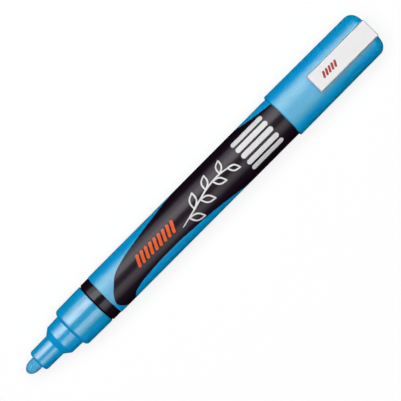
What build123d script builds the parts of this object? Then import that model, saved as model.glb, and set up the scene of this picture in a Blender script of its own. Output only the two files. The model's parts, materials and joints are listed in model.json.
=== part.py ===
# Liquid chalk marker with a valve-fed nib, its cap posted on the tail
# Millimetres, lying along X with the nib at -X, the floor at z = 0 and the clip facing up
import os
from math import cos, pi, sin, sqrt

from build123d import *

os.makedirs("parts", exist_ok=True)

# Visible lengths along the marker, from the nib to the closed end of the cap
nib_exposed = 4.6
sleeve_length = 7.2
cone_length = 2.15
step_length = 4.6
grip_length = 10.95
groove_width = 0.45
collar_length = 3.3
barrel_length = 76.25
cap_length = 37.3

# Outer diameters
nib_dia = 4.15
sleeve_dia = 7.45
step_dia = 10.98
barrel_dia = 14.6

# Clearances
press_gap = 0.02
slide_gap = 0.08
nib_gap = 0.05
posting_gap = 0.1
seat_gap = 0.05
clip_gap = 0.1
tail_clearance = 2.0
cup_stop_gap = 0.2
spring_pilot_gap = 0.25
seat_margin = 0.3

# Edges shared by several pieces
edge_break = 0.1
push_in_bevel = 0.4
push_in_length = 0.8

# Nib and front section
nib_taper = 3.2
sleeve_corner = 0.9
grip_round = 1.35
grip_wall = 1.15
nose_wall = 1.6
sleeve_draft = 0.08
step_draft = 0.14
grip_draft = 0.15
flute_count = 6
flute_radius = 0.35

# Valve
spigot_length = 8.5
tank_spigot = 10.0
groove_depth = 0.35
press_band = 2.0
relief_length = 3.3
relief_depth = 0.3
tank_lead_length = 3.5
tank_lead_bevel = 0.5
valve_travel = 1.5
cup_wall = 0.55
cup_depth = 3.8
cup_floor = 1.2
cup_bevel = 0.5
neck_radius = 1.1
port_radius = 1.6
port_length = 0.6
head_radius = 2.9
head_edge = 0.7
housing_wall = 1.9
cored_wall = 1.0
pilot_length = 1.2
pilot_draft = 0.1
rod_radius = 1.0
rod_overhang = 1.0
rod_bevel = 0.3
retainer_depth = 2.0
slot_count = 4
slot_length = 2.4
slot_width = 0.9
slot_margin = 0.6
wire_radius = 0.25
coil_radius = 2.3
coil_turns = 6
ball_dia = 8.0

# Barrel, label and tail
barrel_wall = 1.0
tail_step = 0.2
tail_length = 20.5
label_film = 0.06
label_margin = 0.5
plug_flange = 1.2
plug_depth = 5.5
plug_wall = 1.0
plug_foot = 2.0
plug_dish = 0.4
plug_floor = 0.2

# Cap
cap_wall = 0.8
cap_taper = 0.2
cap_end_corner = 3.0
cap_mouth_corner = 0.35
cap_end_wall = 1.2
liner_shell = 2.0
liner_wall = 1.0
liner_lip = 0.8
liner_corner = 0.5
lip_flare = 0.5
lip_lead = 0.4
rib_count = 6
rib_height = 0.06
rib_width = 0.5
rib_length = 7.0

# Clip
clip_length = 24.05
clip_width = 6.2
clip_thick = 1.2
clip_inset = 0.2
clip_lift = 0.4
clip_root = 7.0
root_inset = 0.9
root_width = 4.6
root_sink = 1.35
root_cover = 0.5
saddle_drop = 1.9
gusset_length = 1.2
gusset_depth = 0.25
bead_length = 2.0
tip_bevel = 0.3
clip_back_round = 0.7
clip_edge_round = 0.18

# Stations along X, with the marker's middle at the origin
front_lengths = nib_exposed + sleeve_length + cone_length + step_length + grip_length
total_length = front_lengths + groove_width + collar_length + barrel_length + cap_length
x_tip = -total_length / 2
x_sleeve = x_tip + nib_exposed
x_cone = x_sleeve + sleeve_length
x_step = x_cone + cone_length
x_grip = x_step + step_length
x_groove = x_grip + grip_length
x_collar = x_groove + groove_width
x_barrel = x_collar + collar_length
x_mouth = x_barrel + barrel_length
x_tail = x_mouth + tail_length
x_seat = x_tail + tail_clearance
x_end = x_mouth + cap_length

# Radii that follow from the driving sizes
nib_r = nib_dia / 2
sleeve_r = sleeve_dia / 2
step_r = step_dia / 2
barrel_r = barrel_dia / 2
tail_r = barrel_r - tail_step
tank_r = barrel_r - barrel_wall
grip_r = tail_r
socket_r = grip_r - grip_wall
collar_r = tail_r + posting_gap - slide_gap / 2
cap_bore_r = tail_r + posting_gap
cap_r = cap_bore_r + cap_wall
cap_end_r = cap_r - cap_taper
liner_r = cap_end_r - liner_shell
cup_r = nib_r + nib_gap + cup_wall
chamber_r = tank_r - housing_wall
grip_corner = min(grip_round, grip_r - grip_draft - step_r - edge_break)
axis_z = cap_r

pen_axis = Axis((0, 0, axis_z), (1, 0, 0))
side = Plane(origin=(0, 0, axis_z), x_dir=(1, 0, 0), z_dir=(0, -1, 0))


def across(x):
    # Plane square to the marker at x, with its own x along Y and its y along Z
    return Plane(origin=(x, 0, axis_z), x_dir=(0, 1, 0), z_dir=(1, 0, 0))


def biarc(start, start_way, end, end_way):
    # Two tangent arcs that leave the start and reach the end along the given unit directions
    span = end - start
    along = span.dot(start_way + end_way)
    turn = 2 * (1 - start_way.dot(end_way))
    reach = (sqrt(along**2 + turn * span.dot(span)) - along) / turn
    first_corner = start + start_way * reach
    last_corner = end - end_way * reach
    middle = (first_corner + last_corner) / 2
    TangentArc(start, middle, tangent=start_way)
    TangentArc(middle, end, tangent=last_corner - first_corner)


def keep(piece, name):
    # Label one finished solid and write it
    piece.part.label = name
    export_step(piece.part, "parts/" + name + ".step")


# Nib: a felt rod with a bullet point at both ends, so that it can be turned round
x_cup_back = x_collar - valve_travel - cup_stop_gap
x_cup_floor = x_cup_back - cup_floor
x_nib_back = x_cup_floor - nib_gap
with BuildPart() as nib:
    with BuildSketch(side):
        with BuildLine():
            tip = Vector(x_tip, 0)
            front_edge = Vector(x_tip + nib_taper, nib_r)
            back_edge = Vector(x_nib_back - nib_taper, nib_r)
            back = Vector(x_nib_back, 0)
            biarc(tip, Vector(0, 1), front_edge, Vector(1, 0))
            Line(front_edge, back_edge)
            biarc(back_edge, Vector(1, 0), back, Vector(0, -1))
            Line(back, tip)
        make_face()
    revolve(axis=pen_axis)
keep(nib, "nib")

# Front section: sleeve, cone, step and grip in one moulding, hollow for the nib and the valve
nib_bore_r = nib_r + posting_gap
well_r = step_r - nose_wall
x_spigot = x_groove - spigot_length
with BuildPart() as front_section:
    with BuildSketch(side):
        with BuildLine():
            sleeve_front = Line((x_sleeve, nib_bore_r), (x_sleeve, sleeve_r - sleeve_draft - sleeve_corner))
            sleeve_round = RadiusArc(
                sleeve_front @ 1,
                (x_sleeve + sleeve_corner, sleeve_r - sleeve_draft),
                sleeve_corner,
            )
            nose = Polyline(
                sleeve_round @ 1,
                (x_cone, sleeve_r),
                (x_step, step_r - step_draft),
                (x_grip, step_r),
                (x_grip, grip_r - grip_draft - grip_corner),
            )
            shoulder = RadiusArc(
                nose @ 1,
                (x_grip + grip_corner, grip_r - grip_draft),
                grip_corner,
            )
            Polyline(
                shoulder @ 1,
                (x_groove, grip_r),
                (x_groove, socket_r),
                (x_spigot - seat_gap, socket_r),
                (x_spigot - seat_gap, well_r),
                (x_step, well_r),
                (x_cone, nib_bore_r),
                (x_sleeve, nib_bore_r),
            )
        make_face()
    revolve(axis=pen_axis)
    # Air flutes along the nib bore
    with BuildSketch(across(x_sleeve)):
        with PolarLocations(nib_bore_r, flute_count):
            Circle(flute_radius)
    extrude(amount=sleeve_length + cone_length, mode=Mode.SUBTRACT)
keep(front_section, "front_section")

# Valve housing: spigots into the front section and the tank, with the collar and the valve seat
spigot_r = socket_r - press_gap
guide_r = cup_r + slide_gap
tank_spigot_r = tank_r - press_gap
seat_r = head_radius + seat_margin
x_port = x_collar + port_length
x_seat_back = x_port + seat_r - port_radius
x_relief = x_barrel + press_band
x_relief_back = x_relief + relief_length
x_housing_back = x_barrel + tank_spigot
with BuildPart() as valve_housing:
    with BuildSketch(side):
        with BuildLine():
            Polyline(
                (x_spigot, guide_r),
                (x_spigot, guide_r + cored_wall),
                (x_groove - cored_wall, guide_r + cored_wall),
                (x_groove - cored_wall, spigot_r - cored_wall),
                (x_spigot, spigot_r - cored_wall),
                (x_spigot, spigot_r - push_in_bevel),
                (x_spigot + push_in_length, spigot_r),
                (x_groove + press_gap, spigot_r),
                (x_groove + press_gap, grip_r - groove_depth),
                (x_collar, grip_r - groove_depth),
                (x_collar, collar_r - edge_break),
                (x_collar + edge_break, collar_r),
                (x_barrel - press_gap, collar_r),
                (x_barrel - press_gap, tank_spigot_r),
                (x_relief, tank_spigot_r),
                (x_relief + relief_depth, tank_spigot_r - relief_depth),
                (x_relief_back - relief_depth, tank_spigot_r - relief_depth),
                (x_relief_back, tank_spigot_r),
                (x_housing_back - tank_lead_length, tank_spigot_r),
                (x_housing_back, tank_spigot_r - tank_lead_bevel),
                (x_housing_back, chamber_r),
                (x_seat_back, chamber_r),
                (x_seat_back, seat_r),
                (x_port, port_radius),
                (x_collar, port_radius),
                (x_collar, guide_r),
                close=True,
            )
        make_face()
    revolve(axis=pen_axis)
keep(valve_housing, "valve_housing")

# Valve stem: nib cup in front, neck through the port, cone on the seat, rod through the retainer
cup_bore_r = nib_r + nib_gap
pilot_r = coil_radius - wire_radius - spring_pilot_gap
x_cup = x_cup_floor - cup_depth
x_head = x_port + seat_gap * 1.5
x_head_wide = x_head + head_radius - port_radius
x_head_back = x_head_wide + head_edge
x_rod_back = x_housing_back + rod_overhang
x_retainer = x_housing_back - retainer_depth
with BuildPart() as valve_stem:
    with BuildSketch(side):
        with BuildLine():
            Polyline(
                (x_cup, cup_bore_r),
                (x_cup, cup_r),
                (x_cup_back - cup_bevel, cup_r),
                (x_cup_back, cup_r - cup_bevel),
                (x_cup_back, neck_radius),
                (x_head - port_radius + neck_radius, neck_radius),
                (x_head_wide, head_radius),
                (x_head_back, head_radius),
                (x_head_back, pilot_r),
                (x_head_back + pilot_length, pilot_r - pilot_draft),
                (x_head_back + pilot_length, rod_radius),
                (x_rod_back - rod_bevel, rod_radius),
                (x_rod_back, rod_radius - rod_bevel),
                (x_rod_back, 0),
                (x_cup_floor, 0),
                (x_cup_floor, cup_bore_r),
                close=True,
            )
        make_face()
    revolve(axis=pen_axis)
    # Flutes down the cup that let the paint reach the nib
    with BuildSketch(across(x_cup)):
        with PolarLocations(cup_r, slot_count):
            Circle(flute_radius)
    extrude(amount=x_cup_back - x_cup, mode=Mode.SUBTRACT)
keep(valve_stem, "valve_stem")

# Valve spring: one round wire coiled between the valve head and the retainer, two arcs to a quarter turn
x_coil = x_head_back + wire_radius + press_gap
coil_span = x_retainer - wire_radius - press_gap - x_coil
coil_pitch = coil_span / coil_turns


def coil_point(quarter):
    # Centre of the wire after so many quarter turns
    angle = quarter * pi / 2
    return Vector(x_coil + coil_pitch * quarter / 4, coil_radius * cos(angle), axis_z + coil_radius * sin(angle))


def coil_way(quarter):
    # Direction of the wire there
    angle = quarter * pi / 2
    return Vector(coil_pitch / (2 * pi), -coil_radius * sin(angle), coil_radius * cos(angle)).normalized()


with BuildPart() as valve_spring:
    with BuildLine() as coil:
        for quarter in range(4 * coil_turns):
            biarc(coil_point(quarter), coil_way(quarter), coil_point(quarter + 1), coil_way(quarter + 1))
    with BuildSketch(Plane(origin=coil.line @ 0, z_dir=coil.line % 0)):
        Circle(wire_radius)
    sweep(path=coil.line)
keep(valve_spring, "valve_spring")
steps = 24 * coil_turns
wire = [coil.line @ (step / steps) for step in range(steps + 1)]
spacing = [(wire[j] - wire[i]).length for i in range(steps) for j in range(i + 12, steps + 1)]
print("least gap between turns of the spring", round(min(spacing) - 2 * wire_radius, 3))

# Spring retainer: a disc with a guide hole and flow slots, pushed into the back of the housing
retainer_r = chamber_r - press_gap
slot_mid_r = (coil_radius + wire_radius + retainer_r - slot_margin) / 2
with BuildPart() as spring_retainer:
    with BuildSketch(across(x_retainer)):
        Circle(retainer_r)
        Circle(rod_radius + slide_gap, mode=Mode.SUBTRACT)
        with PolarLocations(slot_mid_r, slot_count):
            SlotOverall(slot_length, slot_width, rotation=90, mode=Mode.SUBTRACT)
    extrude(amount=retainer_depth)
keep(spring_retainer, "spring_retainer")

# Mixing ball, lying on the bottom of the tank two ball widths behind the valve
ball_r = ball_dia / 2
x_ball = x_housing_back + 2 * ball_dia
with BuildPart() as mixing_ball:
    with Locations((x_ball, 0, axis_z - tank_r + ball_r + slide_gap)):
        Sphere(ball_r)
keep(mixing_ball, "mixing_ball")

# Barrel: the tank tube, with a shallow recess for the label, open at the cap, and a narrower tail
label_r = barrel_r - label_film
x_plug = x_tail - plug_flange
with BuildPart() as barrel:
    with BuildSketch(side):
        with BuildLine():
            Polyline(
                (x_barrel, tank_r),
                (x_barrel, barrel_r - edge_break),
                (x_barrel + edge_break, barrel_r),
                (x_barrel + label_margin, barrel_r),
                (x_barrel + label_margin, label_r),
                (x_mouth - seat_gap, label_r),
                (x_mouth - seat_gap, tail_r),
                (x_plug, tail_r),
                (x_plug, tank_r),
                close=True,
            )
        make_face()
    revolve(axis=pen_axis)
keep(barrel, "barrel")

# Label: a thin printed film set flush in the barrel's recess
with BuildPart() as label_sleeve:
    with BuildSketch(across(x_barrel + label_margin + press_gap)):
        Circle(barrel_r)
        Circle(label_r, mode=Mode.SUBTRACT)
    extrude(amount=barrel_length - label_margin - press_gap - seat_gap)
keep(label_sleeve, "label_sleeve")

# Tail plug: a hollow stopper with a flange that ends the tail
plug_r = tank_r - press_gap
x_plug_front = x_plug - plug_depth
with BuildPart() as tail_plug:
    with BuildSketch(side):
        with BuildLine():
            Polyline(
                (x_plug_front, plug_r - plug_wall),
                (x_plug_front, plug_r - push_in_bevel),
                (x_plug_front + push_in_length, plug_r),
                (x_plug + press_gap, plug_r),
                (x_plug + press_gap, tail_r),
                (x_tail - push_in_bevel, tail_r),
                (x_tail, tail_r - push_in_bevel),
                (x_tail, tail_r - plug_foot),
                (x_tail - plug_dish, tail_r - plug_foot - plug_dish),
                (x_tail - plug_dish, 0),
                (x_plug - plug_floor, 0),
                (x_plug - plug_floor, plug_r - plug_wall),
                close=True,
            )
        make_face()
    revolve(axis=pen_axis)
keep(tail_plug, "tail_plug")

# Clip stations, used by the cap's slot too
x_clip_back = x_end - clip_inset
x_clip = x_clip_back - clip_length
x_root_back = x_end - root_inset
x_root = x_root_back - clip_root
clip_under = cap_r + clip_lift - cap_taper / 2
clip_top = clip_under + clip_thick
root_bottom = cap_end_r - root_sink

# Cap: a tapered shell with a round shoulder, ribs that grip the tail and a slot for the clip
with BuildPart() as cap_shell:
    with BuildSketch(side):
        with BuildLine():
            Line((x_mouth, cap_bore_r), (x_mouth, cap_r - cap_mouth_corner))
            RadiusArc((x_mouth, cap_r - cap_mouth_corner), (x_mouth + cap_mouth_corner, cap_r), cap_mouth_corner)
            Line((x_mouth + cap_mouth_corner, cap_r), (x_end - cap_end_corner, cap_end_r))
            RadiusArc((x_end - cap_end_corner, cap_end_r), (x_end, cap_end_r - cap_end_corner), cap_end_corner)
            Polyline(
                (x_end, cap_end_r - cap_end_corner),
                (x_end, 0),
                (x_end - cap_end_wall, 0),
                (x_end - cap_end_wall, liner_r),
                (x_seat, liner_r),
                (x_seat, cap_bore_r),
                (x_mouth, cap_bore_r),
            )
        make_face()
    revolve(axis=pen_axis)
    with BuildSketch(across(x_seat - rib_length)):
        with PolarLocations(cap_bore_r, rib_count, start_angle=30):
            Rectangle(2 * rib_height, rib_width)
    extrude(amount=rib_length)
    with Locations(((x_root + x_root_back) / 2, 0, axis_z + root_bottom - clip_gap)):
        Box(
            clip_root + 2 * clip_gap,
            root_width + 2 * clip_gap,
            2 * root_sink,
            align=(Align.CENTER, Align.CENTER, Align.MIN),
            mode=Mode.SUBTRACT,
        )
keep(cap_shell, "cap_shell")

# Inner cap: a soft cup whose lip closes on the nib sleeve when the cap is on the front
liner_out_r = liner_r - press_gap
liner_in_r = liner_out_r - liner_wall
lip_r = sleeve_r + nib_gap
x_lip = x_seat + seat_gap
x_lip_back = x_seat + liner_lip
x_liner_back = x_end - cap_end_wall - seat_gap
x_liner_floor = x_liner_back - liner_wall
with BuildPart() as inner_cap:
    with BuildSketch(side):
        with BuildLine():
            Polyline(
                (x_lip, lip_r + lip_flare),
                (x_lip, liner_out_r),
                (x_liner_back, liner_out_r),
                (x_liner_back, 0),
                (x_liner_floor, 0),
                (x_liner_floor, liner_in_r - liner_corner),
                (x_liner_floor - liner_corner, liner_in_r),
                (x_lip_back, liner_in_r),
                (x_lip_back, lip_r),
                (x_lip + lip_lead, lip_r),
                close=True,
            )
        make_face()
    revolve(axis=pen_axis)
keep(inner_cap, "inner_cap")

# Clip: a flat springy bar with a grip bead, a saddle on the cap and a root in the cap's slot
saddle_bottom = cap_end_r - saddle_drop
x_bead = x_clip + tip_bevel
x_bead_back = x_bead + bead_length
with BuildPart() as clip:
    with BuildSketch(side):
        with BuildLine():
            Polyline(
                (x_clip, clip_top),
                (x_clip, clip_under + tip_bevel),
                (x_bead, clip_under),
            )
            ThreePointArc(
                (x_bead, clip_under),
                (x_bead + bead_length / 2, clip_under - clip_lift / 2),
                (x_bead_back, clip_under),
            )
            Polyline(
                (x_bead_back, clip_under),
                (x_root - gusset_length, clip_under),
                (x_root, clip_under - gusset_depth),
                (x_root, saddle_bottom),
                (x_clip_back, saddle_bottom),
                (x_clip_back, clip_top),
                (x_clip, clip_top),
            )
        make_face()
    extrude(amount=clip_width / 2, both=True)
    # The saddle is hollowed to sit just off the cap's skin
    with BuildSketch(side):
        with BuildLine():
            skin = Polyline(
                (x_mouth, 0),
                (x_mouth, cap_r + clip_gap),
                (x_end - cap_end_corner, cap_end_r + clip_gap),
            )
            RadiusArc(
                skin @ 1,
                (x_end + clip_gap, cap_end_r - cap_end_corner),
                cap_end_corner + clip_gap,
            )
            Polyline(
                (x_end + clip_gap, cap_end_r - cap_end_corner),
                (x_end + clip_gap, 0),
                (x_mouth, 0),
            )
        make_face()
    revolve(axis=pen_axis, mode=Mode.SUBTRACT)
    with Locations(((x_root + x_root_back) / 2, 0, axis_z + root_bottom)):
        Box(
            clip_root,
            root_width,
            clip_top - root_bottom - root_cover,
            align=(Align.CENTER, Align.CENTER, Align.MIN),
        )
    top_edges = clip.faces().sort_by(Axis.Z)[-1].edges()
    fillet(top_edges.sort_by(Axis.X)[-1], radius=clip_back_round)
    fillet(clip.faces().sort_by(Axis.Z)[-1].edges().filter_by(Axis.X), radius=clip_edge_round)
keep(clip, "clip")

whole = [nib, front_section, valve_housing, valve_stem, valve_spring, spring_retainer, mixing_ball]
whole += [barrel, label_sleeve, tail_plug, cap_shell, inner_cap, clip]
for piece in whole:
    box = piece.part.bounding_box()
    print(piece.part.label, len(piece.part.solids()), round(piece.part.volume, 1), box.min, box.max)
print("pin radius", barrel_r, "pin from", x_barrel, "to", x_mouth, "cap end", x_end, "axis height", axis_z)
print("pocket from", x_lip_back, "to", x_liner_floor, "radius", liner_in_r, "lip", lip_r)
print("clip root from", x_root, "to", x_root_back, "bottom", axis_z + root_bottom, "free end", x_clip)
print("ball centre", x_ball, "from", x_rod_back + ball_r, "to", x_plug_front - ball_r)
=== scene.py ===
import json
import math

import bmesh
import bpy
from mathutils import Matrix, Vector


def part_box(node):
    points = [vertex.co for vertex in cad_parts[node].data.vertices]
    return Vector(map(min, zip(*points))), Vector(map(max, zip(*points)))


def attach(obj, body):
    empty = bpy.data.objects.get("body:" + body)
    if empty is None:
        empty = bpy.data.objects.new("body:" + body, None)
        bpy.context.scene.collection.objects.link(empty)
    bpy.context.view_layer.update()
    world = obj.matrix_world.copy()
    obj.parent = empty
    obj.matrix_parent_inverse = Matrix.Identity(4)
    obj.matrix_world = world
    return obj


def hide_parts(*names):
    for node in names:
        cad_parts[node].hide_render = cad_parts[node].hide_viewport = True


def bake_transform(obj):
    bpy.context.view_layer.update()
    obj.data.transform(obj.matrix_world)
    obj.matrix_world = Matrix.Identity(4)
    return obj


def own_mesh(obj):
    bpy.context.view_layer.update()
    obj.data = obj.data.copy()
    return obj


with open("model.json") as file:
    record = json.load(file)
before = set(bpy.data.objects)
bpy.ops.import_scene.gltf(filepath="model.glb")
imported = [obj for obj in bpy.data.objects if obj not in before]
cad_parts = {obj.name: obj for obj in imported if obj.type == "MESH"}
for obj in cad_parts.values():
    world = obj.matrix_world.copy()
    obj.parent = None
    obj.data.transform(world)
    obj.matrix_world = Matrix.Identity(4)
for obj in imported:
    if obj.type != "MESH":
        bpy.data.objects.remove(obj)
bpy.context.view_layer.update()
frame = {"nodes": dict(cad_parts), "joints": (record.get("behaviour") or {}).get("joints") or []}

bl_info = {
    "name": "Chalk marker",
    "version": (1, 0, 0),
    "blender": (4, 5, 0),
    "location": "3D View > Sidebar > Marker",
    "description": "Dresses the packed solids of a liquid chalk marker, its cap on the tail",
    "category": "Object",
}

MM = 0.001

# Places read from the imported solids
NIB_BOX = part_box("nib")
FRONT_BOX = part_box("front_section")
BARREL_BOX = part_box("barrel")
LABEL_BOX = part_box("label_sleeve")
CLIP_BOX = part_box("clip")
SPRING_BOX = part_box("valve_spring")
BALL_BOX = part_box("mixing_ball")
AXIS = (BARREL_BOX[0].z + BARREL_BOX[1].z) / 2
AXIS_POINT = Vector((0.0, 0.0, AXIS))
LABEL_RADIUS = LABEL_BOX[1].z - AXIS

# How finely round pieces are made
SIDES = 144
PILL_SIDES = 34
ROUND_STEPS = 5
WRAP_STEP = math.radians(3.0)
MERGE = 1e-6
SHARP = math.radians(32.0)

# The slant of the printed strokes, and the width that is left at the ends of a line
STROKE_SLANT = math.radians(62.0)
LINE_TIP = 0.5

# Where the gloss of a clear skin starts to fade, from 0 facing the eye to 1 edge-on
GLOSS_START = 0.1

# Sockets of a Mix node that mixes colours, where the names are shared with other sockets
MIX_FACTOR, MIX_LOW, MIX_HIGH, MIX_RESULT = 0, 6, 7, 2


def length(name, description, millimetres):
    """A size that a user may change, given in millimetres and kept in metres."""
    return bpy.props.FloatProperty(
        name=name,
        description=description,
        default=millimetres * MM,
        min=0.0,
        precision=5,
        unit="LENGTH",
    )


def colour(name, description, red, green, blue):
    """A linear colour that a user may change."""
    return bpy.props.FloatVectorProperty(
        name=name,
        description=description,
        default=(red, green, blue),
        size=3,
        min=0.0,
        max=1.0,
        subtype="COLOR",
    )


class MarkerSizes(bpy.types.PropertyGroup):
    """Sizes of the pieces that are modelled here."""

    nib_taper: length("Nib taper", "Length of the nib's bullet point", 3.2)
    sleeve_length: length("Sleeve length", "Narrow sleeve that holds the nib", 7.2)
    sleeve_radius: length("Sleeve radius", "Radius of that sleeve at its back", 3.725)
    sleeve_draft: length("Sleeve draft", "Taper in radius along the sleeve", 0.08)
    sleeve_corner: length("Sleeve corner", "Round of the sleeve's front edge", 0.9)
    cone_length: length("Cone length", "Cone between the sleeve and the step", 2.15)
    step_length: length("Step length", "Step in front of the grip", 4.6)
    step_radius: length("Step radius", "Radius of the step at its back", 5.49)
    step_draft: length("Step draft", "Taper in radius along the step", 0.14)
    grip_draft: length("Grip draft", "Taper in radius along the grip", 0.15)
    grip_corner: length("Grip corner", "Round of the grip's front shoulder", 1.35)
    edge_round: length("Edge round", "Round of the small moulded edges", 0.16)
    bore_radius: length("Nib bore", "Radius of the bore that the nib slides in", 2.175)
    flute_radius: length("Flute radius", "Radius of the air flutes along the bore", 0.35)
    well_radius: length("Well radius", "Radius of the hollow behind the bore", 3.89)
    socket_radius: length("Socket radius", "Radius of the socket for the valve housing", 5.95)
    socket_depth: length("Socket depth", "Depth of that socket", 8.55)
    tank_radius: length("Tank radius", "Inner radius of the barrel", 6.3)
    tail_radius: length("Tail radius", "Radius of the barrel's tail under the cap", 7.1)
    label_film: length("Label film", "Thickness of the label", 0.06)
    ink: length("Ink", "Thickness of one printed layer", 0.02)
    pill_length: length("Pill length", "Length of a blank panel on the label", 12.95)
    pill_width: length("Pill width", "Width of a blank panel on the label", 1.68)
    line_width: length("Line width", "Width of a line of the sprig", 0.5)
    hatch_length: length("Hatch length", "Length of one orange hatching stroke", 4.0)
    hatch_width: length("Hatch width", "Width of one orange hatching stroke", 1.05)
    mark_length: length("Mark length", "Length of one red stroke on the clip", 2.3)
    mark_width: length("Mark width", "Width of one red stroke on the clip", 0.78)
    wire_radius: length("Wire radius", "Radius of the spring's wire", 0.25)
    coil_turns: bpy.props.IntProperty(
        name="Coil turns", description="Turns of the spring", default=6, min=1
    )


class MarkerColours(bpy.types.PropertyGroup):
    """Colours of the finishes."""

    pearl: colour("Pearl blue", "Front section, barrel, label and cap", 0.004, 0.385, 0.82)
    black: colour("Black", "Collar, tail plug and label panel", 0.010, 0.0045, 0.0098)
    white: colour("White", "Clip", 0.815, 0.815, 0.82)
    ink_white: colour("White ink", "Blank panels and sprig on the label", 0.76, 0.75, 0.76)
    ink_orange: colour("Orange ink", "Hatching on the label", 0.715, 0.095, 0.01)
    ink_red: colour("Red ink", "Strokes printed on the clip", 0.37, 0.04, 0.035)
    felt: colour("Felt", "Nib, stained by the paint", 0.073, 0.395, 0.69)
    natural: colour("Natural plastic", "Valve stem, retainer and cap liner", 0.72, 0.73, 0.70)
    steel: colour("Steel", "Spring and mixing ball", 0.58, 0.58, 0.60)


class Signal:
    """One socket of a material's nodes, on which Python's operators add Math nodes."""

    def __init__(self, tree, socket=None):
        self.tree = tree
        self.socket = socket

    def add(self, kind, settings=None, inputs=None, output=0):
        """Add a node, set its settings, then fill or link its inputs, and give one output."""
        node = self.tree.nodes.new(kind)
        for name, value in (settings or {}).items():
            setattr(node, name, value)
        for name, value in (inputs or {}).items():
            if isinstance(value, Signal):
                self.tree.links.new(value.socket, node.inputs[name])
            else:
                node.inputs[name].default_value = value
        return Signal(self.tree, node.outputs[output] if node.outputs else None)

    def maths(self, operation, *values):
        return self.add("ShaderNodeMath", {"operation": operation}, dict(enumerate(values)))

    def __add__(self, other):
        return self.maths("ADD", self, other)

    def __sub__(self, other):
        return self.maths("SUBTRACT", self, other)

    def __rsub__(self, other):
        return self.maths("SUBTRACT", other, self)

    def __mul__(self, other):
        return self.maths("MULTIPLY", self, other)

    __radd__ = __add__
    __rmul__ = __mul__

    def noise(self, cells, detail=2.0):
        """Smooth noise from 0 to 1 at this place, with so many cells to the metre."""
        inputs = {"Vector": self, "Scale": cells, "Detail": detail}
        return self.add("ShaderNodeTexNoise", inputs=inputs)

    def flakes(self, cells):
        """A value from 0 to 1 for the flake at this place, with so many flakes to the metre."""
        inputs = {"Vector": self, "Scale": cells}
        colours = self.add("ShaderNodeTexVoronoi", inputs=inputs, output="Color")
        return self.add("ShaderNodeSeparateColor", inputs={"Color": colours})

    def drawn_out(self, along):
        """This place, with patterns at a smaller or larger scale along the marker than across."""
        inputs = {"Vector": self, "Scale": (along, 1.0, 1.0)}
        return self.add("ShaderNodeMapping", inputs=inputs)

    def fade(self, start, end):
        """From 1 where this value is at the start, smoothly down to 0 at the end."""
        inputs = {"Value": self, "From Min": start, "From Max": end, "To Min": 1.0, "To Max": 0.0}
        return self.add("ShaderNodeMapRange", {"interpolation_type": "SMOOTHSTEP"}, inputs)

    def gloss(self, rim):
        """How much of a clear skin's gloss is left as the surface turns away, up to the rim."""
        turned = self.add("ShaderNodeLayerWeight", inputs={"Blend": 0.5}, output="Facing")
        return turned.fade(GLOSS_START, rim)

    def shades(self, rgb, dark, light):
        """A colour from its dark shade to its light one, by this value."""
        low, high = (*shade(rgb, dark), 1.0), (*shade(rgb, light), 1.0)
        inputs = {MIX_FACTOR: self, MIX_LOW: low, MIX_HIGH: high}
        return self.add("ShaderNodeMix", {"data_type": "RGBA"}, inputs, MIX_RESULT)

    def bump(self, strength, depth):
        """A normal bent by this height."""
        inputs = {"Height": self, "Strength": strength, "Distance": depth}
        return self.add("ShaderNodeBump", inputs=inputs)


def shade(rgb, factor):
    """A colour made lighter or darker."""
    return tuple(min(1.0, channel * factor) for channel in rgb)


def material_of(name, build):
    """The named material, made once: build gives the shader's inputs at a place in the object."""
    found = bpy.data.materials.get(name)
    if found:
        return found
    material = bpy.data.materials.new(name)
    material.use_nodes = True
    tree = material.node_tree
    tree.nodes.clear()
    place = Signal(tree).add("ShaderNodeTexCoord", output="Object")
    shader = place.add("ShaderNodeBsdfPrincipled", inputs=build(place))
    place.add("ShaderNodeOutputMaterial", inputs={"Surface": shader})
    return material


def pearl_plastic(name, rgb, roughness, skin, rim):
    """Blue plastic full of pearl flakes, which scatters light just below a clear skin.

    The skin holds back a little blue, and its gloss fades towards the rim.
    """
    scatter_depth = 0.03 * MM
    skin_tint = (1.0, 1.0, 0.74, 1.0)

    def build(place):
        flake = place.flakes(cells=5200.0)
        drift = place.noise(cells=90.0)
        return {
            "Base Color": (flake * 0.6 + drift * 0.4).shades(rgb, dark=0.84, light=1.16),
            "Roughness": 0.5 + 0.12 * flake,
            "Specular IOR Level": 0.0,
            "Subsurface Weight": 1.0,
            "Subsurface Radius": (1.0, 1.0, 1.0),
            "Subsurface Scale": scatter_depth,
            "Coat Weight": place.gloss(rim) * skin,
            "Coat Roughness": roughness,
            "Coat Tint": skin_tint,
            "Normal": flake.bump(strength=0.06, depth=0.02 * MM),
        }

    return material_of(name, build)


def glossy_shade_painted_pearl(rgb):
    """The finish of the front section, smoother than the rest; its blue is darkened as painted
    shade.
    """
    # Painted shade: the pearl blue darkened by 0.94 stands in for the deep shade on the front's
    # rims
    return pearl_plastic("glossy pearl", shade(rgb, 0.94), roughness=0.24, skin=0.83, rim=0.34)


def satin_pearl(rgb):
    """The finish of the barrel, the label and the cap."""
    return pearl_plastic("satin pearl", rgb, roughness=0.55, skin=1.0, rim=0.35)


def satin_black(name, rgb, roughness, skin):
    """Black plastic or ink with a fine grain and a thin gloss, which fades towards the rim."""
    rim = 0.36

    def build(place):
        grain = place.noise(cells=6000.0, detail=3.0)
        patches = place.noise(cells=160.0)
        return {
            "Base Color": patches.shades(rgb, dark=0.8, light=1.25),
            "Roughness": 0.5 + 0.1 * patches,
            "Specular IOR Level": 0.0,
            "Coat Weight": place.gloss(rim) * skin,
            "Coat Roughness": roughness,
            "Normal": grain.bump(strength=0.05, depth=0.02 * MM),
        }

    return material_of(name, build)


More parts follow.
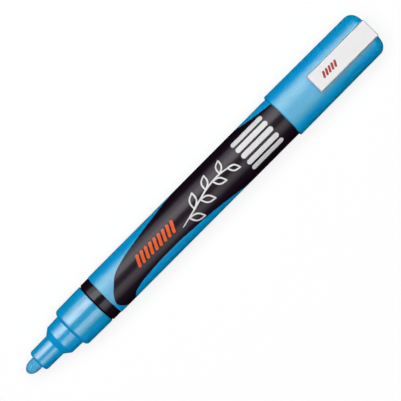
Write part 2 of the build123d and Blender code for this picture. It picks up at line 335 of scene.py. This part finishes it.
def white_plastic(name, rgb):
    """Opaque white plastic with a faint grain."""

    def build(place):
        grain = place.noise(cells=5000.0, detail=3.0)
        patches = place.noise(cells=120.0)
        return {
            "Base Color": patches.shades(rgb, dark=0.975, light=1.02),
            "Roughness": 0.34 + 0.08 * grain,
            "Specular IOR Level": 0.14,
            "Normal": grain.bump(strength=0.04, depth=0.02 * MM),
        }

    return material_of(name, build)


def printing_ink(name, rgb):
    """Screen ink that lies a little unevenly on the film."""

    def build(place):
        mottle = place.noise(cells=2600.0, detail=4.0)
        return {
            "Base Color": mottle.shades(rgb, dark=0.86, light=1.06),
            "Roughness": 0.38 + 0.14 * mottle,
            "Specular IOR Level": 0.1,
            "Normal": mottle.bump(strength=0.08, depth=0.01 * MM),
        }

    return material_of(name, build)


def stained_felt(name, rgb):
    """Pressed fibres along the nib, soaked with paint."""

    def build(place):
        fibres = place.drawn_out(along=0.25).noise(cells=7000.0, detail=4.0)
        soak = place.noise(cells=1700.0).fade(start=0.3, end=0.7)
        return {
            "Base Color": (fibres * 0.5 + soak * 0.5).shades(rgb, dark=0.48, light=1.5),
            "Roughness": 0.7 - 0.2 * soak,
            "Specular IOR Level": 0.06,
            "Normal": (fibres + soak * 0.5).bump(strength=0.35, depth=0.08 * MM),
        }

    return material_of(name, build)


def milky_plastic(name, rgb):
    """Unfilled moulded plastic, milky and a little see-through at its edges."""

    def build(place):
        flow = place.drawn_out(along=0.3).noise(cells=700.0, detail=3.0)
        return {
            "Base Color": flow.shades(rgb, dark=0.9, light=1.06),
            "Roughness": 0.4 + 0.12 * flow,
            "Subsurface Weight": 0.3,
            "Subsurface Radius": (1.0, 1.0, 0.9),
            "Subsurface Scale": 1.0 * MM,
            "Normal": flow.bump(strength=0.05, depth=0.02 * MM),
        }

    return material_of(name, build)


def bright_steel(name, rgb, along):
    """Steel with fine marks, which a value below 1 draws out along the marker."""

    def build(place):
        lines = place.drawn_out(along).noise(cells=9000.0, detail=3.0)
        stain = place.noise(cells=300.0)
        return {
            "Base Color": stain.shades(rgb, dark=0.85, light=1.1),
            "Metallic": 1.0,
            "Roughness": 0.18 + 0.16 * lines,
            "Normal": lines.bump(strength=0.06, depth=0.01 * MM),
        }

    return material_of(name, build)


def finish_mesh(bm, name, material):
    """Turn a finished bmesh into an object at the origin, smooth but for its crisp corners."""
    mesh = bpy.data.meshes.new(name)
    bm.to_mesh(mesh)
    bm.free()
    mesh.polygons.foreach_set("use_smooth", [True] * len(mesh.polygons))
    mesh.set_sharp_from_angle(angle=SHARP)
    mesh.materials.append(material)
    piece = bpy.data.objects.new(name, mesh)
    bpy.context.scene.collection.objects.link(piece)
    return piece


def even_shading(piece):
    """Let large faces keep their own shading beside small rounds."""
    weights = piece.modifiers.new("even shading", "WEIGHTED_NORMAL")
    weights.keep_sharp = True
    return piece


def settle(piece, body, node):
    """Tie a piece to its body, and hide the imported solid that it stands for."""
    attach(piece, body)
    if node:
        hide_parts(node)
    return piece


def round_corner(bm, corner, radius):
    """Round one corner of a flat outline with an arc of this radius."""
    ways = [(edge.other_vert(corner).co - corner.co).normalized() for edge in corner.link_edges]
    turn = math.pi - ways[0].angle(ways[1])
    bmesh.ops.bevel(
        bm,
        geom=[corner],
        offset=radius * math.tan(turn / 2),
        offset_type="OFFSET",
        affect="VERTICES",
        segments=ROUND_STEPS,
        profile=0.5,
        material=-1,
    )


def lathe(outline):
    """Spin a closed outline of (x, radius, corner round) about the marker's axis."""
    bm = bmesh.new()
    corners = [bm.verts.new((x, 0.0, AXIS + radius)) for x, radius, _ in outline]
    bm.faces.new(corners)
    for corner, (_, _, rounding) in zip(corners, outline):
        if rounding:
            round_corner(bm, corner, rounding)
    bmesh.ops.delete(bm, geom=bm.faces[:], context="FACES_ONLY")
    on_axis = [edge for edge in bm.edges if all(vert.co.z - AXIS < MERGE for vert in edge.verts)]
    bmesh.ops.delete(bm, geom=on_axis, context="EDGES")
    bmesh.ops.spin(
        bm,
        geom=bm.verts[:] + bm.edges[:],
        cent=AXIS_POINT,
        axis=(1, 0, 0),
        angle=math.tau,
        steps=SIDES,
        use_merge=True,
    )
    bmesh.ops.remove_doubles(bm, verts=bm.verts, dist=MERGE)
    bmesh.ops.recalc_face_normals(bm, faces=bm.faces)
    return bm


def joined_copy(node):
    """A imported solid's triangles, joined at their corners so that round faces shade smoothly."""
    bm = bmesh.new()
    bm.from_mesh(frame["nodes"][node].data)
    bmesh.ops.remove_doubles(bm, verts=bm.verts, dist=MERGE)
    return bm


def cut_in_strips(bm, normal, start, stop, step):
    """Cut a mesh by evenly spaced planes, so that it can bend between them."""
    direction = Vector(normal)
    for index in range(1, math.ceil((stop - start) / step)):
        bmesh.ops.bisect_plane(
            bm,
            geom=bm.verts[:] + bm.edges[:] + bm.faces[:],
            dist=MERGE,
            plane_co=direction * (start + index * step),
            plane_no=direction,
        )


def thicken(bm, depth):
    """Give a flat sheet its thickness, upwards."""
    raised = bmesh.ops.extrude_face_region(bm, geom=bm.faces[:])
    top = [item for item in raised["geom"] if isinstance(item, bmesh.types.BMVert)]
    bmesh.ops.translate(bm, verts=top, vec=(0, 0, depth))
    bmesh.ops.recalc_face_normals(bm, faces=bm.faces)


def wrap_round_label(bm, lift):
    """Lay a print, its y going round towards +Y from the top, on the label at a height of lift."""
    for vert in bm.verts:
        turn = vert.co.y / LABEL_RADIUS
        reach = LABEL_RADIUS + lift + vert.co.z
        vert.co = (vert.co.x, reach * math.sin(turn), AXIS + reach * math.cos(turn))


def add_pill(bm, size, middle, turn=0.0):
    """Add a flat bar with round ends to a sheet: a disc whose halves are drawn apart."""
    reach, width = size
    disc = bmesh.ops.create_circle(bm, cap_ends=True, segments=PILL_SIDES, radius=width / 2)
    pill = disc["verts"]
    for vert in pill:
        vert.co.x += math.copysign((reach - width) / 2, vert.co.x)
    bmesh.ops.rotate(bm, verts=pill, matrix=Matrix.Rotation(turn, 3, "Z"))
    bmesh.ops.translate(bm, verts=pill, vec=(*middle, 0))


def row_of_strokes(count, start, pitch, size):
    """A flat row of slanted strokes with round ends along x."""
    bm = bmesh.new()
    for index in range(count):
        add_pill(bm, size, (start + index * pitch, 0.0), STROKE_SLANT)
    return bm


def curve_mesh(curve):
    """The mesh of a curve that was drawn in millimetres."""
    holder = bpy.data.objects.new(curve.name, curve)
    mesh = bpy.data.meshes.new_from_object(holder)
    bm = bmesh.new()
    bm.from_mesh(mesh)
    bpy.data.objects.remove(holder)
    bpy.data.curves.remove(curve)
    bpy.data.meshes.remove(mesh)
    bmesh.ops.remove_doubles(bm, verts=bm.verts, dist=MERGE / MM)
    bmesh.ops.scale(bm, verts=bm.verts, vec=(MM, MM, MM))
    return bm


def add_spline(curve, points, closed):
    """Add one smooth line through points of (x, y, handle)."""
    spline = curve.splines.new("BEZIER")
    spline.bezier_points.add(len(points) - 1)
    spline.use_cyclic_u = closed
    for knot, (x, y, handle) in zip(spline.bezier_points, points):
        knot.co = (x, y, 0)
        knot.handle_left_type = handle
        knot.handle_right_type = handle
    return spline


def drawn_lines(strokes, width):
    """Rounded lines of ink along strokes of (points, closed), open ones thin at their ends."""
    curve = bpy.data.curves.new("lines", "CURVE")
    curve.dimensions = "3D"
    curve.bevel_depth = width / MM / 2
    curve.bevel_resolution = 2
    curve.use_fill_caps = True
    curve.resolution_u = 8
    for points, closed in strokes:
        knots = add_spline(curve, points, closed).bezier_points
        if not closed:
            knots[0].radius = knots[-1].radius = LINE_TIP
    return curve_mesh(curve)


def filled_outline(points):
    """A flat sheet inside a closed outline of (x, y, handle) in millimetres."""
    curve = bpy.data.curves.new("outline", "CURVE")
    curve.dimensions = "2D"
    curve.fill_mode = "BOTH"
    curve.resolution_u = 10
    add_spline(curve, points, True)
    return curve_mesh(curve)


class MARKER_OT_nib(bpy.types.Operator):
    """Make the bullet nib, a felt rod pointed at both ends"""

    bl_idname = "marker.nib"
    bl_label = "Nib"

    point_steps = 12

    def execute(self, context):
        sizes = context.scene.marker_sizes
        front, back = NIB_BOX[0].x, NIB_BOX[1].x
        radius = NIB_BOX[1].y
        bullet = []
        for index in range(self.point_steps + 1):
            angle = index * math.pi / 2 / self.point_steps
            bullet.append((sizes.nib_taper * (1 - math.cos(angle)), radius * math.sin(angle)))
        outline = [(front + depth, reach, 0) for depth, reach in bullet]
        outline += [(back - depth, reach, 0) for depth, reach in reversed(bullet)]
        felt = stained_felt("stained felt", context.scene.marker_colours.felt)
        settle(finish_mesh(lathe(outline), "nib_felt", felt), "nib", "nib")
        return {"FINISHED"}


class MARKER_OT_front_section(bpy.types.Operator):
    """Make the stepped front section, with the fluted bore that the nib slides in"""

    bl_idname = "marker.front_section"
    bl_label = "Front section"

    flute_count = 6

    def execute(self, context):
        sizes = context.scene.marker_sizes
        x_sleeve, x_groove = FRONT_BOX[0].x, FRONT_BOX[1].x
        grip_radius = FRONT_BOX[1].y
        x_cone = x_sleeve + sizes.sleeve_length
        x_step = x_cone + sizes.cone_length
        x_grip = x_step + sizes.step_length
        x_socket = x_groove - sizes.socket_depth
        edge = sizes.edge_round
        outline = [
            (x_sleeve, sizes.bore_radius, 0),
            (x_sleeve, sizes.sleeve_radius - sizes.sleeve_draft, sizes.sleeve_corner),
            (x_cone, sizes.sleeve_radius, edge),
            (x_step, sizes.step_radius - sizes.step_draft, 2 * edge),
            (x_grip, sizes.step_radius, edge),
            (x_grip, grip_radius - sizes.grip_draft, sizes.grip_corner),
            (x_groove, grip_radius, edge),
            (x_groove, sizes.socket_radius, 0),
            (x_socket, sizes.socket_radius, 0),
            (x_socket, sizes.well_radius, 0),
            (x_step, sizes.well_radius, 0),
            (x_cone, sizes.bore_radius, 0),
        ]
        bm = lathe(outline)
        self.cut_flutes(bm, sizes)
        pearl = glossy_shade_painted_pearl(context.scene.marker_colours.pearl)
        shell = finish_mesh(bm, "front_shell", pearl)
        settle(even_shading(shell), "pen", "front_section")
        return {"FINISHED"}

    def cut_flutes(self, bm, sizes):
        """Push the bore outwards along evenly spaced round flutes."""
        bore, flute = sizes.bore_radius, sizes.flute_radius
        spacing = math.tau / self.flute_count
        half_width = 2 * math.asin(flute / (2 * bore))
        for vert in bm.verts:
            across = Vector((0, vert.co.y, vert.co.z - AXIS))
            if abs(across.length - bore) > MERGE:
                continue
            turn = math.atan2(across.y, across.z)
            off = turn - spacing * round(turn / spacing)
            if abs(off) < half_width:
                reach = bore * math.cos(off) + math.sqrt(flute**2 - (bore * math.sin(off)) ** 2)
                vert.co = AXIS_POINT + Vector((vert.co.x, 0, 0)) + across.normalized() * reach


class MARKER_OT_barrel(bpy.types.Operator):
    """Make the barrel tube with its narrower tail, and the label film in its recess"""

    bl_idname = "marker.barrel"
    bl_label = "Barrel and label film"

    label_gap = 0.02 * MM

    def execute(self, context):
        sizes = context.scene.marker_sizes
        front, back = BARREL_BOX[0].x, BARREL_BOX[1].x
        radius = BARREL_BOX[1].y
        inner = radius - sizes.label_film
        x_label, x_tail = LABEL_BOX[0].x, LABEL_BOX[1].x
        x_recess = x_label - self.label_gap
        outline = [
            (front, sizes.tank_radius, 0),
            (front, radius, sizes.edge_round),
            (x_recess, radius, 0),
            (x_recess, inner, 0),
            (x_tail, inner, 0),
            (x_tail, sizes.tail_radius, 0),
            (back, sizes.tail_radius, 0),
            (back, sizes.tank_radius, 0),
        ]
        pearl = satin_pearl(context.scene.marker_colours.pearl)
        tube = finish_mesh(lathe(outline), "barrel_tube", pearl)
        settle(even_shading(tube), "pen", "barrel")
        film_outline = [
            (x_label, inner, 0),
            (x_label, radius, 0),
            (x_tail, radius, 0),
            (x_tail, inner, 0),
        ]
        film = finish_mesh(lathe(film_outline), "label_film", pearl)
        settle(even_shading(film), "pen", "label_sleeve")
        return {"FINISHED"}


class MARKER_OT_label_print(bpy.types.Operator):
    """Print the label: black swept panel, five blank panels, orange hatching and a white sprig"""

    bl_idname = "marker.label_print"
    bl_label = "Label print"

    # The panel's edge from its upper corner at the cap: (x along the marker, y round it, handle)
    # Its numbers and those of the sprig are in millimetres
    panel_edge = (
        (36.03, 5.65, "VECTOR"),
        (32.2, 6.35, "AUTO"),
        (26.2, 8.0, "AUTO"),
        (20.5, 11.2, "AUTO"),
        (8.25, 12.7, "AUTO"),
        (-3.0, 10.4, "AUTO"),
        (-11.1, 7.9, "AUTO"),
        (-20.7, 5.7, "AUTO"),
        (-30.2, 3.4, "AUTO"),
        (-33.6, 1.95, "AUTO"),
        (-35.85, 0.02, "AUTO"),
        (-38.1, -2.25, "AUTO"),
        (-39.15, -5.0, "AUTO"),
        (-38.35, -7.25, "AUTO"),
        (-36.4, -11.0, "AUTO"),
        (-34.2, -13.6, "VECTOR"),
        (-33.6, -10.6, "AUTO"),
        (-32.9, -7.6, "AUTO"),
        (-30.4, -6.2, "AUTO"),
        (-25.5, -5.35, "AUTO"),
        (-15.9, -4.85, "AUTO"),
        (-6.3, -5.35, "AUTO"),
        (3.3, -6.5, "AUTO"),
        (10.6, -8.3, "AUTO"),
        (18.25, -12.2, "AUTO"),
        (36.03, -14.65, "VECTOR"),
    )
    # Each blank panel's place round the label, in degrees from the top
    pill_turns = (-36.7, -17.5, 1.4, 21.7, 40.8)
    pill_middle = 24.85 * MM
    hatch_count = 9
    hatch_start = -25.4 * MM
    hatch_pitch = 1.81 * MM
    stem = (
        (-8.8, -2.5, "AUTO"),
        (-2.2, -0.9, "AUTO"),
        (4.6, 0.8, "AUTO"),
        (10.6, 1.1, "AUTO"),
        (15.6, 0.0, "AUTO"),
    )
    leaf_places = (
        (-5.6, -1.75),
        (-2.6, -1.0),
        (0.6, -0.15),
        (3.8, 0.65),
        (7.0, 1.1),
        (10.2, 1.15),
        (13.0, 0.75),
    )
    # The first leaf's length, what each next one lacks, and half a leaf's width to its length
    leaf_length = 5.3
    leaf_shortening = 0.2
    leaf_plumpness = 0.21
    # The stem's own slant, and how far the leaves spread from it, in degrees
    stem_slant = 8.0
    leaf_spread = 47.0

    def execute(self, context):
        sizes = context.scene.marker_sizes
        colours = context.scene.marker_colours
        black = satin_black("label black", colours.black, roughness=0.26, skin=0.2)
        white = printing_ink("white ink", colours.ink_white)
        orange = printing_ink("orange ink", colours.ink_orange)
        panel = self.sheet(filled_outline(self.panel_edge), sizes.ink)
        self.lay(panel, "black_panel", black, lift=0.0)
        hatch = (sizes.hatch_length, sizes.hatch_width)
        strokes = row_of_strokes(self.hatch_count, self.hatch_start, self.hatch_pitch, hatch)
        self.lay(self.sheet(strokes, sizes.ink), "orange_hatching", orange, lift=sizes.ink)
        self.lay(self.sprig(sizes), "chalk_sprig", white, lift=sizes.ink)
        for number, turn in enumerate(self.pill_turns, start=1):
            pill = bmesh.new()
            across = -LABEL_RADIUS * math.radians(turn)
            add_pill(pill, (sizes.pill_length, sizes.pill_width), (self.pill_middle, across))
            self.lay(self.sheet(pill, sizes.ink), f"blank_pill_{number}", white, lift=sizes.ink)
        return {"FINISHED"}

    def sheet(self, bm, depth):
        """Cut a flat sheet so that it can bend round the label, and give it its thickness."""
        across = [vert.co.y for vert in bm.verts]
        cut_in_strips(bm, (0, 1, 0), min(across), max(across), WRAP_STEP * LABEL_RADIUS)
        thicken(bm, depth)
        return bm

    def lay(self, bm, name, material, lift):
        """Wrap one print round the label and tie it to the marker."""
        wrap_round_label(bm, lift)
        settle(finish_mesh(bm, name, material), "pen", None)

    def sprig(self, sizes):
        """Lines of a leafy sprig: a bent stem, and leaves on either side of it in turn."""
        strokes = [(self.stem, False)]
        for index, place in enumerate(self.leaf_places):
            reach = self.leaf_length - self.leaf_shortening * index
            belly = self.leaf_plumpness * reach
            side = 1 if index % 2 else -1
            turn = Matrix.Rotation(math.radians(self.stem_slant + side * self.leaf_spread), 2)
            leaf = (
                (0.0, 0.0, "VECTOR"),
                (reach / 2, belly, "AUTO"),
                (reach, 0.0, "VECTOR"),
                (reach / 2, -belly, "AUTO"),
            )
            points = [(*(Vector(place) + turn @ Vector((x, y))), handle) for x, y, handle in leaf]
            strokes.append((points, True))
        bm = drawn_lines(strokes, sizes.line_width)
        bmesh.ops.scale(bm, verts=bm.verts, vec=(1, 1, 2 * sizes.ink / sizes.line_width))
        return bm


class MARKER_OT_mouldings(bpy.types.Operator):
    """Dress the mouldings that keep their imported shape: collar, valve, plug, cap and liner"""

    bl_idname = "marker.mouldings"
    bl_label = "Collar, valve, plug and cap"

    def execute(self, context):
        colours = context.scene.marker_colours
        black = satin_black("satin black", colours.black, roughness=0.165, skin=0.24)
        natural = milky_plastic("milky plastic", colours.natural)
        pearl = satin_pearl(colours.pearl)
        rows = (
            ("valve_housing", "collar_and_housing", "pen", black, "black_plastic"),
            ("tail_plug", "tail_stopper", "pen", black, "black_plastic"),
            ("valve_stem", "stem_rod", "stem", natural, "natural_plastic"),
            ("spring_retainer", "retainer_disc", "pen", natural, "natural_plastic"),
            ("inner_cap", "cap_liner", "cap", natural, "natural_plastic"),
            ("cap_shell", "cap_body", "cap", pearl, "blue_plastic"),
        )
        for node, name, body, material, slot in rows:
            piece = finish_mesh(joined_copy(node), name, material)
            settle(even_shading(piece), body, node)
        return {"FINISHED"}


class MARKER_OT_valve_spring(bpy.types.Operator):
    """Coil the valve spring at its rest length"""

    bl_idname = "marker.valve_spring"
    bl_label = "Valve spring"

    wire_sides = 12
    turn_steps = 40

    def execute(self, context):
        sizes = context.scene.marker_sizes
        wire = sizes.wire_radius
        coil = SPRING_BOX[1].y - wire
        front, back = SPRING_BOX[0].x + wire, SPRING_BOX[1].x - wire
        steps = self.turn_steps * sizes.coil_turns
        bm = bmesh.new()
        bmesh.ops.create_circle(bm, cap_ends=True, segments=self.wire_sides, radius=wire)
        bmesh.ops.rotate(bm, verts=bm.verts, matrix=Matrix.Rotation(math.pi / 2, 3, "Z"))
        bmesh.ops.translate(bm, verts=bm.verts, vec=(front, coil, AXIS))
        bmesh.ops.spin(
            bm,
            geom=bm.faces[:],
            cent=AXIS_POINT,
            axis=(1, 0, 0),
            dvec=((back - front) / steps, 0, 0),
            angle=math.tau * sizes.coil_turns,
            steps=steps,
        )
        bmesh.ops.recalc_face_normals(bm, faces=bm.faces)
        steel = bright_steel("drawn steel", context.scene.marker_colours.steel, along=0.3)
        spring = settle(finish_mesh(bm, "spring_wire", steel), "pen", "valve_spring")
        press = next(joint for joint in frame["joints"] if joint["name"] == "valve_press")
        travel = press["range_m"][1]
        whole = SPRING_BOX[1].x - SPRING_BOX[0].x
        1 - travel / whole
        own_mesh(spring)
        return {"FINISHED"}


class MARKER_OT_mixing_ball(bpy.types.Operator):
    """Make the steel ball that stirs the paint"""

    bl_idname = "marker.mixing_ball"
    bl_label = "Mixing ball"

    def execute(self, context):
        place = Matrix.Translation((BALL_BOX[0] + BALL_BOX[1]) / 2)
        bm = bmesh.new()
        bmesh.ops.create_icosphere(bm, subdivisions=5, radius=BALL_BOX[1].y, matrix=place)
        steel = bright_steel("ground steel", context.scene.marker_colours.steel, along=1.0)
        settle(finish_mesh(bm, "stirring_ball", steel), "ball", "mixing_ball")
        return {"FINISHED"}


class MARKER_OT_clip(bpy.types.Operator):
    """Make the springy clip and the strokes printed on it, both cut in strips along its length"""

    bl_idname = "marker.clip"
    bl_label = "Clip"

    root_inset = 0.9 * MM
    root_length = 7.0 * MM
    bend_length = 9.0 * MM
    bend_step = 0.6 * MM
    draft = 0.3 * MM
    draft_start = 0.25 * MM
    draft_depth = 0.7 * MM
    mark_count = 5
    mark_inset = 4.1 * MM
    mark_pitch = 1.18 * MM

    def execute(self, context):
        sizes = context.scene.marker_sizes
        colours = context.scene.marker_colours
        white = white_plastic("white plastic", colours.white)
        red = printing_ink("red ink", colours.ink_red)
        bar = self.bend(self.drafted(joined_copy("clip")), "clip_bar", white)
        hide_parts("clip")
        start = CLIP_BOX[0].x + self.mark_inset
        mark = (sizes.mark_length, sizes.mark_width)
        strokes = row_of_strokes(self.mark_count, start, self.mark_pitch, mark)
        thicken(strokes, sizes.ink)
        bmesh.ops.translate(strokes, verts=strokes.verts, vec=(0, 0, CLIP_BOX[1].z))
        self.bend(strokes, "clip_mark", red)
        return {"FINISHED"}

    def drafted(self, bm):
        """Let the bar's sides and free end lean outwards below its top, as they leave a mould."""
        top = CLIP_BOX[1].z
        bottom = top - self.draft_depth - self.draft_start
        cut_in_strips(bm, (0, 0, 1), bottom, top, self.draft_start)
        for vert in bm.verts:
            below = top - self.draft_start - vert.co.z
            lean = self.draft * min(1.0, max(0.0, below / self.draft_depth))
            if abs(vert.co.y) > CLIP_BOX[1].y - self.draft:
                vert.co.y += math.copysign(lean, vert.co.y)
            if vert.co.x < CLIP_BOX[0].x + self.draft:
                vert.co.x -= lean
        return bm

    def bend(self, bm, name, material):
        """Cut a piece in strips along the clip, and turn it into a finished object."""
        cut_in_strips(bm, (1, 0, 0), CLIP_BOX[0].x, CLIP_BOX[1].x, self.bend_step)
        piece = even_shading(finish_mesh(bm, name, material))
        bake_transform(piece)
        return piece


class MARKER_OT_stage(bpy.types.Operator):
    """Set the pale floor, the soft boxes, the overhead fill, the dim room and the camera"""

    bl_idname = "marker.stage"
    bl_label = "Stage"

    camera_height = 0.65
    view_width = 121.5 * MM
    camera_turn = math.radians(-45.14)
    camera_middle = (0.545 * MM, -0.415 * MM)
    # A soft box is strips of (from, to, share of its brightness), in degrees off the vertical
    left_box = ((17.0, 50.0, 1.0), (50.0, 80.0, 0.54))
    right_box = ((17.0, 45.0, 1.0), (45.0, 61.0, 0.5))
    left_radiance = 13.2
    right_radiance = 6.6
    box_reach = 0.7
    box_length = 1.4
    fill_radiance = 5.45
    fill_reach = 1.0
    fill_size = 0.8
    fill_tilt = math.radians(6.0)
    room_light = 0.05
    floor_size = 8.0
    floor_drop = 0.1 * MM
    floor_colour = 0.2
    floor_glow = 0.804

    def execute(self, context):
        self.floor()
        self.soft_box(1, self.left_box, self.left_radiance)
        self.soft_box(-1, self.right_box, self.right_radiance)
        self.fill()
        self.room(context.scene)
        self.camera(context.scene)
        context.scene.view_settings.view_transform = "Standard"
        return {"FINISHED"}

    def floor(self):
        """A pale floor that looks white where nothing shades it."""
        bm = bmesh.new()
        bmesh.ops.create_grid(bm, x_segments=1, y_segments=1, size=self.floor_size / 2)
        bmesh.ops.translate(bm, verts=bm.verts, vec=(0, 0, -self.floor_drop))
        material = bpy.data.materials.new("pale floor")
        material.use_nodes = True
        tree = material.node_tree
        tree.nodes.clear()
        start = Signal(tree)
        seen = start.add("ShaderNodeLightPath", output="Is Camera Ray")
        rays = seen.socket.node.outputs
        for kind in ("Is Glossy Ray", "Is Transmission Ray"):
            seen = seen + Signal(tree, rays[kind])
        grey = (self.floor_colour,) * 3
        paint = start.add("ShaderNodeBsdfDiffuse", inputs={"Color": (*grey, 1.0)})
        glow = start.add("ShaderNodeEmission", inputs={"Strength": seen * self.floor_glow})
        both = start.add("ShaderNodeAddShader", inputs={0: paint, 1: glow})
        start.add("ShaderNodeOutputMaterial", inputs={"Surface": both})
        finish_mesh(bm, "floor", material)

    def soft_box(self, side, strips, radiance):
        """A long soft box beside the marker, which only shows in its gloss."""
        for start, end, share in strips:
            tilt = side * math.radians(start + end) / 2
            half_width = self.box_reach * math.tan(math.radians(end - start) / 2)
            size = (self.box_length, 2 * half_width)
            place = (0, self.box_reach * math.sin(tilt), AXIS + self.box_reach * math.cos(tilt))
            strip = self.lamp("soft box strip", size, share * radiance, place, tilt)
            strip.visible_diffuse = False

    def fill(self):
        """A broad overhead light that shows the colours without a reflection of its own."""
        size = (self.fill_size, self.fill_size)
        tilt = self.fill_tilt
        place = (0, self.fill_reach * math.sin(tilt), self.fill_reach * math.cos(tilt))
        lamp = self.lamp("overhead fill", size, self.fill_radiance, place, tilt)
        lamp.visible_glossy = False

    def lamp(self, name, size, radiance, place, tilt):
        """A flat lamp, as bright all over as it is written."""
        light = bpy.data.lights.new(name, "AREA")
        light.shape = "RECTANGLE"
        light.size, light.size_y = size
        light.energy = radiance * math.pi * size[0] * size[1]
        holder = bpy.data.objects.new(name, light)
        holder.location = place
        holder.rotation_euler = (-tilt, 0, 0)
        bpy.context.scene.collection.objects.link(holder)
        return holder

    def room(self, scene):
        """A dim even room."""
        world = bpy.data.worlds.new("room")
        world.use_nodes = True
        background = world.node_tree.nodes["Background"]
        background.inputs["Color"].default_value = (1.0, 1.0, 1.0, 1.0)
        background.inputs["Strength"].default_value = self.room_light
        scene.world = world

    def camera(self, scene):
        """A long lens straight above, turned so that the nib points to the lower left."""
        lens = bpy.data.cameras.new("camera")
        lens.angle = 2 * math.atan(self.view_width / 2 / self.camera_height)
        holder = bpy.data.objects.new("camera", lens)
        holder.location = (*self.camera_middle, AXIS + self.camera_height)
        holder.rotation_euler = (0, 0, self.camera_turn)
        scene.collection.objects.link(holder)
        scene.camera = holder


PIECES = (
    MARKER_OT_nib,
    MARKER_OT_front_section,
    MARKER_OT_barrel,
    MARKER_OT_label_print,
    MARKER_OT_mouldings,
    MARKER_OT_valve_spring,
    MARKER_OT_mixing_ball,
    MARKER_OT_clip,
    MARKER_OT_stage,
)


class MARKER_PT_panel(bpy.types.Panel):
    """Lists the marker's pieces, in the order in which they are made"""

    bl_idname = "MARKER_PT_panel"
    bl_label = "Chalk marker"
    bl_space_type = "VIEW_3D"
    bl_region_type = "UI"
    bl_category = "Marker"

    def draw(self, context):
        for piece in PIECES:
            self.layout.operator(piece.bl_idname)
        for group in (context.scene.marker_sizes, context.scene.marker_colours):
            column = self.layout.column()
            for name in group.__annotations__:
                column.prop(group, name)


CLASSES = (MarkerSizes, MarkerColours, *PIECES, MARKER_PT_panel)


def register():
    for item in CLASSES:
        bpy.utils.register_class(item)
    bpy.types.Scene.marker_sizes = bpy.props.PointerProperty(type=MarkerSizes)
    bpy.types.Scene.marker_colours = bpy.props.PointerProperty(type=MarkerColours)


def unregister():
    del bpy.types.Scene.marker_colours
    del bpy.types.Scene.marker_sizes
    for item in reversed(CLASSES):
        bpy.utils.unregister_class(item)


def main():
    register()
    bpy.ops.marker.nib()
    bpy.ops.marker.front_section()
    bpy.ops.marker.barrel()
    bpy.ops.marker.label_print()
    bpy.ops.marker.mouldings()
    bpy.ops.marker.valve_spring()
    bpy.ops.marker.mixing_ball()
    bpy.ops.marker.clip()
    bpy.ops.marker.stage()


if __name__ == "__main__":
    main()
